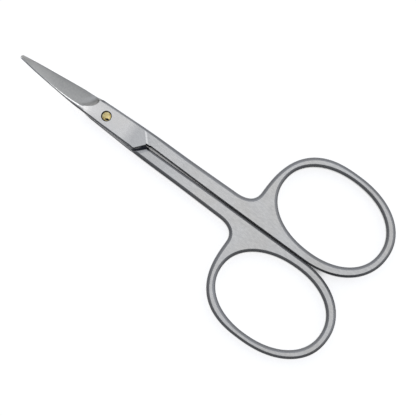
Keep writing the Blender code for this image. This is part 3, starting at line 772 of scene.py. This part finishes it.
def station_marks(rows, loops, side):
    """The marks of each point of the stations, with painted shade down the side that faces the gap."""
    marks = {}
    for row, parts in zip(rows, loops):
        for point in sum(parts, []):
            marks[point] = point_marks(row, point.co.x, side * point.co.y)
        past_end = row[0] - LOBE_END_FAR
        if past_end > 0:
            past_opening = clamp((past_end - SHOULDER_CLEARANCE - GAP_OPENING) / GAP_OPENING)
            edge_share = GAP_EDGE_SHARE + (1 - GAP_EDGE_SHARE) * (1 - past_opening)
            for point, shade in zip(parts[3], gap_shares(edge_share)):
                marks[point]["gap"] = shade
    return marks


def heel_shade(rim):
    """How much painted shade there is at each point of the rim. It fades out round the heel."""
    heel_index = len(rim) - 1 - INNER_STEPS
    shade = {}
    for i, profile in enumerate(rim):
        share = clamp(HEEL_DARKNESS * (1 - (heel_index - i) / HEEL_FADE_STEPS))
        for point, dark in zip(profile, gap_shares(HEEL_EDGE_SHARE)):
            shade[point] = share * dark
    return shade


def face_finish(i, mark, on_lobe):
    """The finish and painted light at a corner of the i-th face round a half, from its point's marks. The
    faces go over the top flat, down the near side, under the bottom flat, up the far side and over the strip
    beside the grinding."""
    if i < FLAT_COUNT:
        # Painted shade darkens the ground face towards the cutting edge.
        cutting_edge = EDGE_DARKNESS * mark["ground"] * (i / FLAT_COUNT) ** EDGE_DARK_POWER
        # Painted highlight on the top flat, and painted shade on the notch.
        return {
            "grind": mark["ground"],
            "strip": mark["highlight_and_polish"],
            "recess": mark["notch"],
            "blade_shade": max(mark["blade_shade"], cutting_edge),
        }
    if i < LOWER_FIRST:
        # Painted shade down part of the lobe's near wall.
        shade = OUTER_SHADE_SHARE if on_lobe and i > FLAT_COUNT + ROUND_STEPS else 0.0
        # Painted shade along the blade's near side, at the cutting edge.
        return {"recess": shade, "blade_shade": max(mark["edge_shade"], EDGE_DARKNESS * mark["ground"])}
    if i < FAR_FIRST:
        # Painted shade under the lap, and in the crevice.
        shade = LAP_SHADE_SHARE if on_lobe and i < LAP_SHADE_END else 0.0
        return {"recess": max(mark["crevice"], shade)}
    if i < LAST_FACE:
        # Painted shade in the crevice and down the side that faces the gap.
        return {"recess": max(mark["crevice"], mark["gap"])}
    # Painted highlight on the strip beside the grinding, and painted shade on the notch.
    return {"strip": max(mark["ground"], mark["highlight_and_polish"]), "recess": mark["notch"]}


def half_mesh(name, side):
    """One half as a closed mesh. side is 1 for the front half, and -1 for the rear half, which is the
    same shape turned over about its length, but for the blade's curve. Its layers say how far it is
    ground ("grind"), how much painted highlight and polish it has ("strip"), and how much painted shade it
    has."""
    mesh = bmesh.new()
    layers = {key: mesh.loops.layers.float.new(key) for key in ("grind", "strip", "recess", "blade_shade")}

    def vertex(point):
        x, y, z = point.x, side * point.y, side * point.z
        bend = BLADE_SET * tip_share(x, y)
        return mesh.verts.new((x, y - bend, z + lift(x, y)))

    def strip(line_a, line_b, closed=False):
        """The faces between two lines of points."""
        count = len(line_a)
        faces = []
        for i in range(count if closed else count - 1):
            j = (i + 1) % count
            faces.append(mesh.faces.new((line_a[i], line_a[j], line_b[j], line_b[i])))
        return faces

    rows = stations()
    loops = []
    for row in rows:
        loops.append([[vertex(point) for point in part] for part in across_station(row)])
    marks = station_marks(rows, loops, side)
    flat_loops = [sum(parts, []) for parts in loops]
    for row, loop, following in zip(rows, flat_loops, flat_loops[1:]):
        far_x, inner = row[0], row[3]
        on_lobe = far_x > -RUN_OUT_REACH and inner > 0
        for i, face in enumerate(strip(loop, following, closed=True)):
            for corner in face.loops:
                for key, value in face_finish(i, marks[corner.vert], on_lobe).items():
                    corner[layers[key]] = value
    mesh.faces.new(flat_loops[0])

    top, near_side, bottom, far_side = loops[-1]
    near_points, far_points = across_station(rows[-1])[1::2]
    rim_points, hole_points = ring_profiles(near_points, far_points[::-1])
    rim = [[vertex(point) for point in profile] for profile in rim_points[1:-1]]
    rim = [near_side, *rim, far_side[::-1]]
    hole = [[vertex(point) for point in profile] for profile in hole_points]
    # Painted shade round the rings' heels.
    shade = heel_shade(rim)
    for profile, following in zip(rim, rim[1:]):
        for face in strip(profile, following):
            for corner in face.loops:
                corner[layers["recess"]] = shade[corner.vert]
    for profile, following in zip(hole, hole[1:] + hole[:1]):
        strip(profile, following)
    strip([profile[0] for profile in rim] + top, [profile[0] for profile in hole], closed=True)
    strip([profile[-1] for profile in rim] + bottom[::-1], [profile[-1] for profile in hole], closed=True)
    return finished_mesh(name, mesh)


def turned_mesh(name, profile):
    """A closed solid turned about Z. The profile runs from its lower end on the axis to its upper end."""
    mesh = bmesh.new()
    rings = []
    for radius, z in profile:
        if radius == 0:
            rings.append([mesh.verts.new((0, 0, z))] * TURNED_STEPS)
            continue
        turns = [2 * pi * step / TURNED_STEPS for step in range(TURNED_STEPS)]
        rings.append([mesh.verts.new((radius * cos(turn), radius * sin(turn), z)) for turn in turns])
    for low, high in zip(rings, rings[1:]):
        for i in range(TURNED_STEPS):
            j = (i + 1) % TURNED_STEPS
            mesh.faces.new(dict.fromkeys((low[i], low[j], high[j], high[i])))
    return finished_mesh(name, mesh)


def finished_mesh(name, mesh):
    """The mesh as object data, with all its faces turned outwards."""
    bmesh.ops.recalc_face_normals(mesh, faces=mesh.faces)
    data = bpy.data.meshes.new(name)
    mesh.to_mesh(data)
    mesh.free()
    return data


def darken(data):
    """Marks all of a cutter's faces with painted shade, which the faces that it cuts keep."""
    layer = data.attributes.new("recess", "FLOAT", "CORNER")
    layer.data.foreach_set("value", [1.0] * len(data.loops))


def place(name, data):
    """A new object in the scene that shows this mesh, lamp or camera."""
    thing = bpy.data.objects.new(name, data)
    bpy.context.scene.collection.objects.link(thing)
    return thing


def carve(target, cutter):
    """Takes the cutter out of the target's mesh, and then out of the scene."""
    boolean = target.modifiers.new("bore", "BOOLEAN")
    boolean.operation = "DIFFERENCE"
    boolean.object = cutter
    bpy.context.view_layer.update()
    graph = bpy.context.evaluated_depsgraph_get()
    data = bpy.data.meshes.new_from_object(target.evaluated_get(graph))
    target.modifiers.remove(boolean)
    target.data = data
    bpy.data.objects.remove(cutter, do_unlink=True)


def settle(piece, sharp_angle):
    """Moves a piece, made round the pivot, to its place, and shades it smooth but for its sharp edges."""
    piece.location = (PIVOT_X, 0, PIVOT_Z)
    piece.data.shade_smooth()
    piece.data.set_sharp_from_angle(angle=sharp_angle)
    weighted = piece.modifiers.new("even_shading", "WEIGHTED_NORMAL")
    weighted.keep_sharp = True
    bpy.context.view_layer.update()


# Materials.
class Nodes:
    """A short way to write a material's node tree. A value that goes in may be another node's output."""

    def __init__(self, tree):
        self.tree = tree

    def add(self, kind, **values):
        node = self.tree.nodes.new(kind)
        for key, value in values.items():
            setattr(node, key, value)
        return node

    def link(self, output, socket):
        self.tree.links.new(output, socket)

    def feed(self, value, socket):
        """Gives a socket its value: another node's output, a colour or a number."""
        if hasattr(value, "links"):
            self.link(value, socket)
        elif isinstance(value, tuple):
            socket.default_value = (*value, 1.0)
        else:
            socket.default_value = value

    def math(self, operation, a, b):
        node = self.add("ShaderNodeMath", operation=operation)
        self.feed(a, node.inputs[0])
        self.feed(b, node.inputs[1])
        return node.outputs[0]

    def times(self, a, b):
        return self.math("MULTIPLY", a, b)

    def mix(self, share, a, b):
        """A colour or number between a and b."""
        colour = any(isinstance(value, tuple) or getattr(value, "type", "") == "RGBA" for value in (a, b))
        node = self.add("ShaderNodeMix", data_type="RGBA" if colour else "FLOAT")
        sockets = [socket for socket in node.inputs if socket.enabled]
        for socket, value in zip(sockets, (share, a, b)):
            self.feed(value, socket)
        return next(socket for socket in node.outputs if socket.enabled)

    def spread(self, value, low, high, to_low=0.0, to_high=1.0):
        """to_low where the value is at low, changing evenly to to_high where it is at high."""
        node = self.add("ShaderNodeMapRange", clamp=True)
        self.link(value, node.inputs["Value"])
        for key, number in zip(("From Min", "From Max", "To Min", "To Max"), (low, high, to_low, to_high)):
            node.inputs[key].default_value = number
        return node.outputs["Result"]

    def noise(self, vector, scale, detail=2.0, stretch=(1, 1, 1), turn=0.0):
        """Noise of about 1/scale metres, made longer by a small stretch along that axis."""
        mapping = self.add("ShaderNodeMapping")
        mapping.inputs["Scale"].default_value = stretch
        mapping.inputs["Rotation"].default_value = (0, 0, turn)
        self.link(vector, mapping.inputs["Vector"])
        node = self.add("ShaderNodeTexNoise")
        node.inputs["Scale"].default_value = scale
        node.inputs["Detail"].default_value = detail
        self.link(mapping.outputs[0], node.inputs["Vector"])
        return node.outputs["Fac"]

    def attribute(self, name):
        return self.add("ShaderNodeAttribute", attribute_name=name).outputs["Fac"]

    def bump(self, height, strength):
        node = self.add("ShaderNodeBump")
        node.inputs["Strength"].default_value = strength
        node.inputs["Distance"].default_value = BUMP_DEPTH
        self.link(height, node.inputs["Height"])
        return node.outputs["Normal"]


def new_material(name):
    material = bpy.data.materials.new(name)
    material.use_nodes = True
    nodes = Nodes(material.node_tree)
    shader = material.node_tree.nodes["Principled BSDF"]
    return material, nodes, shader


def steel_material():
    """Satin steel with a fine grain, a painted sheen, painted highlights and painted shade. The mesh's layers
    say where it is ground, and where its painted highlights and painted shade are.
    """
    material, nodes, shader = new_material("satin_steel_finish")
    spot = nodes.add("ShaderNodeTexCoord").outputs["Object"]
    grind = nodes.attribute("grind")
    strip = nodes.attribute("strip")
    blade_shade = nodes.times(nodes.attribute("blade_shade"), BLADE_SHADE_SHARE)

    apart = nodes.add("ShaderNodeSeparateXYZ")
    nodes.link(spot, apart.inputs[0])
    along = apart.outputs["X"]
    # Polish, which also brings a painted sheen: highest at the lobes, and falling towards the rings.
    slow = nodes.times(nodes.spread(along, POLISHED_UP_TO, POLISHED_FROM), SLOW_POLISH_SHARE)
    rubbed = nodes.times(nodes.spread(along, RUBBED_UP_TO, RUBBED_FROM), 1 - SLOW_POLISH_SHARE)
    polish_and_sheen = nodes.math("ADD", slow, rubbed)
    past_lobe = nodes.spread(along, RUBBED_FROM, RUBBED_UP_TO)
    shank_shade = nodes.times(past_lobe, nodes.spread(along, SHANK_SHADE_UP_TO, SHANK_SHADE_FROM))
    to_tip = nodes.spread(along, -TIP_HIGHLIGHT_FROM, -TIP_HIGHLIGHT_UP_TO)
    cloud = nodes.spread(nodes.noise(spot, **CLOUD_NOISE), *CLOUD_RANGE)
    grain = nodes.noise(spot, **SATIN_NOISE)
    lines = nodes.noise(spot, **LINE_NOISE)
    ground_grain = nodes.noise(spot, **GROUND_NOISE)

    # A painted sheen, lighter where the polish is higher.
    satin = nodes.mix(polish_and_sheen, SATIN_COLOUR, PAINTED_SHEEN_COLOUR)
    satin = nodes.mix(nodes.times(cloud, CLOUD_SHARE), satin, CLOUD_COLOUR)
    # Painted shade at the start of the shanks.
    satin = nodes.mix(nodes.times(shank_shade, SHANK_SHADE_SHARE), satin, SHANK_SHADE_COLOUR)
    ground = nodes.mix(nodes.spread(ground_grain, *GRAIN_RANGE), GROUND_DARK_COLOUR, GROUND_LIGHT_COLOUR)
    # A painted highlight on the ground faces, growing towards the tip.
    ground = nodes.mix(nodes.times(to_tip, TIP_HIGHLIGHT_SHARE), ground, TIP_HIGHLIGHT_COLOUR)
    colour = nodes.mix(grind, satin, ground)
    # Painted shade on the blades.
    colour = nodes.mix(blade_shade, colour, BLADE_SHADE_COLOUR)
    # Painted highlights on the strip, the lobes, the patch and the crease.
    colour = nodes.mix(strip, colour, PAINTED_HIGHLIGHT_COLOUR)
    # Painted shade in the crevice, the gap, under the lap, round the heels and in the bores.
    colour = nodes.mix(nodes.attribute("recess"), colour, PAINTED_SHADE_COLOUR)
    nodes.link(colour, shader.inputs["Base Color"])

    rough = nodes.spread(grain, *GRAIN_RANGE, *SATIN_ROUGHNESS)
    rough = nodes.mix(polish_and_sheen, rough, nodes.spread(grain, *GRAIN_RANGE, *POLISHED_ROUGHNESS))
    rough = nodes.mix(grind, rough, nodes.spread(ground_grain, *GRAIN_RANGE, *GROUND_ROUGHNESS))
    rough = nodes.mix(strip, rough, STRIP_ROUGHNESS)
    nodes.link(rough, shader.inputs["Roughness"])
    shader.inputs["Metallic"].default_value = 1.0

    height = nodes.times(nodes.math("ADD", grain, lines), SATIN_BUMP_SHARE)
    height = nodes.mix(grind, height, ground_grain)
    nodes.link(nodes.bump(height, STEEL_BUMP), shader.inputs["Normal"])
    return material


def brass_material():
    """Brass with cloudy tarnish and file marks, and painted shade in the dent."""
    material, nodes, shader = new_material("brass_finish")
    spot = nodes.add("ShaderNodeTexCoord").outputs["Object"]
    cloud = nodes.spread(nodes.noise(spot, **BRASS_NOISE), *BRASS_RANGE)
    marks = nodes.noise(spot, **FILED_NOISE)
    colour = nodes.mix(cloud, BRASS_DARK_COLOUR, BRASS_LIGHT_COLOUR)
    # Painted shade in the dent.
    colour = nodes.mix(nodes.attribute("recess"), colour, DENT_SHADE_COLOUR)
    nodes.link(colour, shader.inputs["Base Color"])
    nodes.link(nodes.spread(marks, *GRAIN_RANGE, *BRASS_ROUGHNESS), shader.inputs["Roughness"])
    shader.inputs["Metallic"].default_value = 1.0
    nodes.link(nodes.bump(marks, BRASS_BUMP), shader.inputs["Normal"])
    return material


def floor_material():
    """Plain white for the camera and in reflections, with the object's soft shadow kept. The glow
    fades in narrow gaps, where little light reaches a real floor."""
    material, nodes, shader = new_material("floor")
    tree = material.node_tree
    tree.nodes.remove(shader)
    path = nodes.add("ShaderNodeLightPath")
    seen = nodes.math("MAXIMUM", path.outputs["Is Camera Ray"], path.outputs["Is Glossy Ray"])
    seen = nodes.math("MAXIMUM", seen, path.outputs["Is Transmission Ray"])
    around = nodes.add("ShaderNodeAmbientOcclusion", samples=SHADOW_SAMPLES)
    around.inputs["Distance"].default_value = SHADOW_REACH
    open_sky = nodes.spread(around.outputs["AO"], 0.0, OPEN_FLOOR_SHARE)
    diffuse = nodes.add("ShaderNodeBsdfDiffuse")
    diffuse.inputs["Color"].default_value = (*FLOOR_COLOUR, 1.0)
    glow = nodes.add("ShaderNodeEmission")
    strength = nodes.times(nodes.times(seen, FLOOR_GLOW), open_sky)
    nodes.link(strength, glow.inputs["Strength"])
    both = nodes.add("ShaderNodeAddShader")
    nodes.link(diffuse.outputs[0], both.inputs[0])
    nodes.link(glow.outputs[0], both.inputs[1])
    nodes.link(both.outputs[0], tree.nodes["Material Output"].inputs["Surface"])
    return material


# Pieces.
def make_bore(low_radius, step_level, high_radius):
    """The cutter of a stepped bore: one radius up to a level, and another above it."""
    end = LOBE_LEVEL + CUT_OVERRUN
    profile = (
        (0, -end),
        (low_radius, -end),
        (low_radius, step_level),
        (high_radius, step_level),
        (high_radius, end),
        (0, end),
    )
    bore = place("bore", turned_mesh("bore", profile))
    # The bore's walls get painted shade.
    darken(bore.data)
    return bore


def make_halves(steel):
    """The halves at their finest, with the bores that the screw goes through."""
    head_floor = HEAD_SINK + HEAD_THICKNESS + SCREW_CLEARANCE - LOBE_LEVEL
    front_bore = (BORE_RADIUS, LOBE_LEVEL - RECESS_DEPTH, RECESS_RADIUS)
    rear_bore = (HEAD_RADIUS + SCREW_CLEARANCE, head_floor, BORE_RADIUS)
    for body, side, bore in (("front", 1, front_bore), ("rear", -1, rear_bore)):
        name = body + "_half_finished"
        half = place(name, half_mesh(name, side))
        half.data.materials.append(steel)
        carve(half, make_bore(*bore))
        settle(half, FINE_SHARP_ANGLE)
        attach(half, body)
        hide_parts(body + "_half")


def cutter(name, mesh, half_sizes, turn):
    """A piece's cutter, from a shape that is two units across: scaled, and turned about Z."""
    bmesh.ops.scale(mesh, verts=mesh.verts, vec=half_sizes)
    data = bpy.data.meshes.new(name)
    mesh.to_mesh(data)
    mesh.free()
    thing = place(name, data)
    thing.rotation_euler.z = turn
    return thing


def make_dent(level):
    """The cutter of the dent: an oblong drop, set into the brass end at a level."""
    mesh = bmesh.new()
    bmesh.ops.create_uvsphere(mesh, u_segments=DENT_ROUND_STEPS, v_segments=DENT_DOWN_STEPS, radius=1)
    dent = cutter("dent", mesh, (DENT_LENGTH / 2, DENT_WIDTH / 2, DENT_DEPTH), DENT_TURN)
    # The dent's faces get painted shade.
    darken(dent.data)
    dent.location = (*DENT_PLACE, level)
    return dent


def make_slot(level):
    """The cutter of the driver's slot, set into the head at a level."""
    mesh = bmesh.new()
    bmesh.ops.create_cube(mesh, size=2)
    slot = cutter("screw_slot", mesh, (HEAD_RADIUS + CUT_OVERRUN, SLOT_WIDTH / 2, SLOT_DEPTH), SLOT_TURN)
    slot.location.z = level
    return slot


def make_screw(brass):
    """The pivot screw: its slotted head below, and its spread and dented end above."""
    head_low = HEAD_SINK - LOBE_LEVEL
    head_high = head_low + HEAD_THICKNESS
    dome_edge = LOBE_LEVEL - SCREW_SINK - SCREW_DOME
    profile = [
        (0, head_low),
        (HEAD_RADIUS - HEAD_BEVEL, head_low),
        (HEAD_RADIUS, head_low + HEAD_BEVEL),
        (HEAD_RADIUS, head_high),
        (SCREW_RADIUS, head_high),
    ]
    for step in range(DOME_STEPS):
        turn = pi / 2 * step / DOME_STEPS
        profile.append((SCREW_RADIUS * cos(turn), dome_edge + SCREW_DOME * sin(turn)))
    profile.append((0, dome_edge + SCREW_DOME))
    data = turned_mesh("screw_finished", profile)
    for point in data.vertices:
        if point.co.z > LOBE_LEVEL - RECESS_DEPTH:
            point.co.xy += Vector(SCREW_SPREAD)
    screw = place("screw_finished", data)
    screw.data.materials.append(brass)
    carve(screw, make_slot(head_low))
    carve(screw, make_dent(dome_edge + SCREW_DOME))
    settle(screw, SHARP_ANGLE)
    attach(screw, "front")
    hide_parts("pivot_screw")


def make_floor():
    data = bpy.data.meshes.new("floor")
    corners = [(x, y, 0) for x, y in ((-1, -1), (1, -1), (1, 1), (-1, 1))]
    data.from_pydata([Vector(corner) * FLOOR_HALF for corner in corners], [], [(0, 1, 2, 3)])
    floor = place("floor", data)
    data.materials.append(floor_material())


# Light and camera.
def photo_up(lean):
    """The direction that leans from straight up towards the top of the photograph."""
    return Vector((-sin(VIEW_TURN) * sin(lean), cos(VIEW_TURN) * sin(lean), cos(lean)))


def make_lamp():
    data = bpy.data.lights.new("soft_lamp", "AREA")
    data.shape = "DISK"
    data.size = LAMP_SIZE
    data.energy = LAMP_POWER
    lamp = place("soft_lamp", data)
    direction = Vector((tan(LAMP_LEAN_X), tan(LAMP_LEAN_Y), 1)).normalized()
    lamp.location = direction * LAMP_DISTANCE
    lamp.rotation_euler = direction.to_track_quat("Z", "Y").to_euler()


def make_sky():
    world = bpy.data.worlds.new("studio")
    world.use_nodes = True
    bpy.context.scene.world = world
    nodes = Nodes(world.node_tree)
    direction = nodes.add("ShaderNodeTexCoord").outputs["Generated"]

    def glow(towards, low, high, power, strength):
        """Light that grows towards a direction, as the cosine of the angle to it goes from low to high."""
        product = nodes.add("ShaderNodeVectorMath", operation="DOT_PRODUCT")
        nodes.link(direction, product.inputs[0])
        product.inputs[1].default_value = towards
        rise = nodes.spread(product.outputs["Value"], low, high)
        return nodes.times(nodes.math("POWER", rise, power), strength)

    rise = glow(photo_up(SKY_RISE_LEAN), SKY_RISE_FROM, SKY_RISE_UP_TO, SKY_POWER, SKY_RISE)
    above = glow(photo_up(SKY_TOP_LEAN), cos(SKY_TOP_REACH), 1.0, SKY_POWER, SKY_TOP)
    side = Vector(SKY_SIDE_PLACE).normalized()
    beside = glow(side, cos(SKY_SIDE_REACH), 1.0, SKY_SIDE_POWER, SKY_SIDE)
    level = nodes.math("ADD", nodes.math("ADD", rise, above), nodes.math("ADD", beside, SKY_LOW))
    background = world.node_tree.nodes["Background"]
    background.inputs["Color"].default_value = (*SKY_COLOUR, 1.0)
    nodes.link(level, background.inputs["Strength"])


def make_camera():
    camera = bpy.data.cameras.new("camera")
    camera.sensor_width = SENSOR_WIDTH
    camera.lens = SENSOR_WIDTH * VIEW_DISTANCE / VIEW_WIDTH
    camera.clip_start = VIEW_DISTANCE / CLIP_RANGE
    camera.clip_end = VIEW_DISTANCE * CLIP_RANGE
    eye = place("camera", camera)
    eye.location = Vector(VIEW_TARGET) + photo_up(-VIEW_TILT) * VIEW_DISTANCE
    eye.rotation_euler = (VIEW_TILT, 0, VIEW_TURN)
    bpy.context.scene.camera = eye


make_halves(steel_material())
make_screw(brass_material())
make_floor()
make_lamp()
make_sky()
make_camera()
bpy.context.scene.view_settings.view_transform = "Standard"
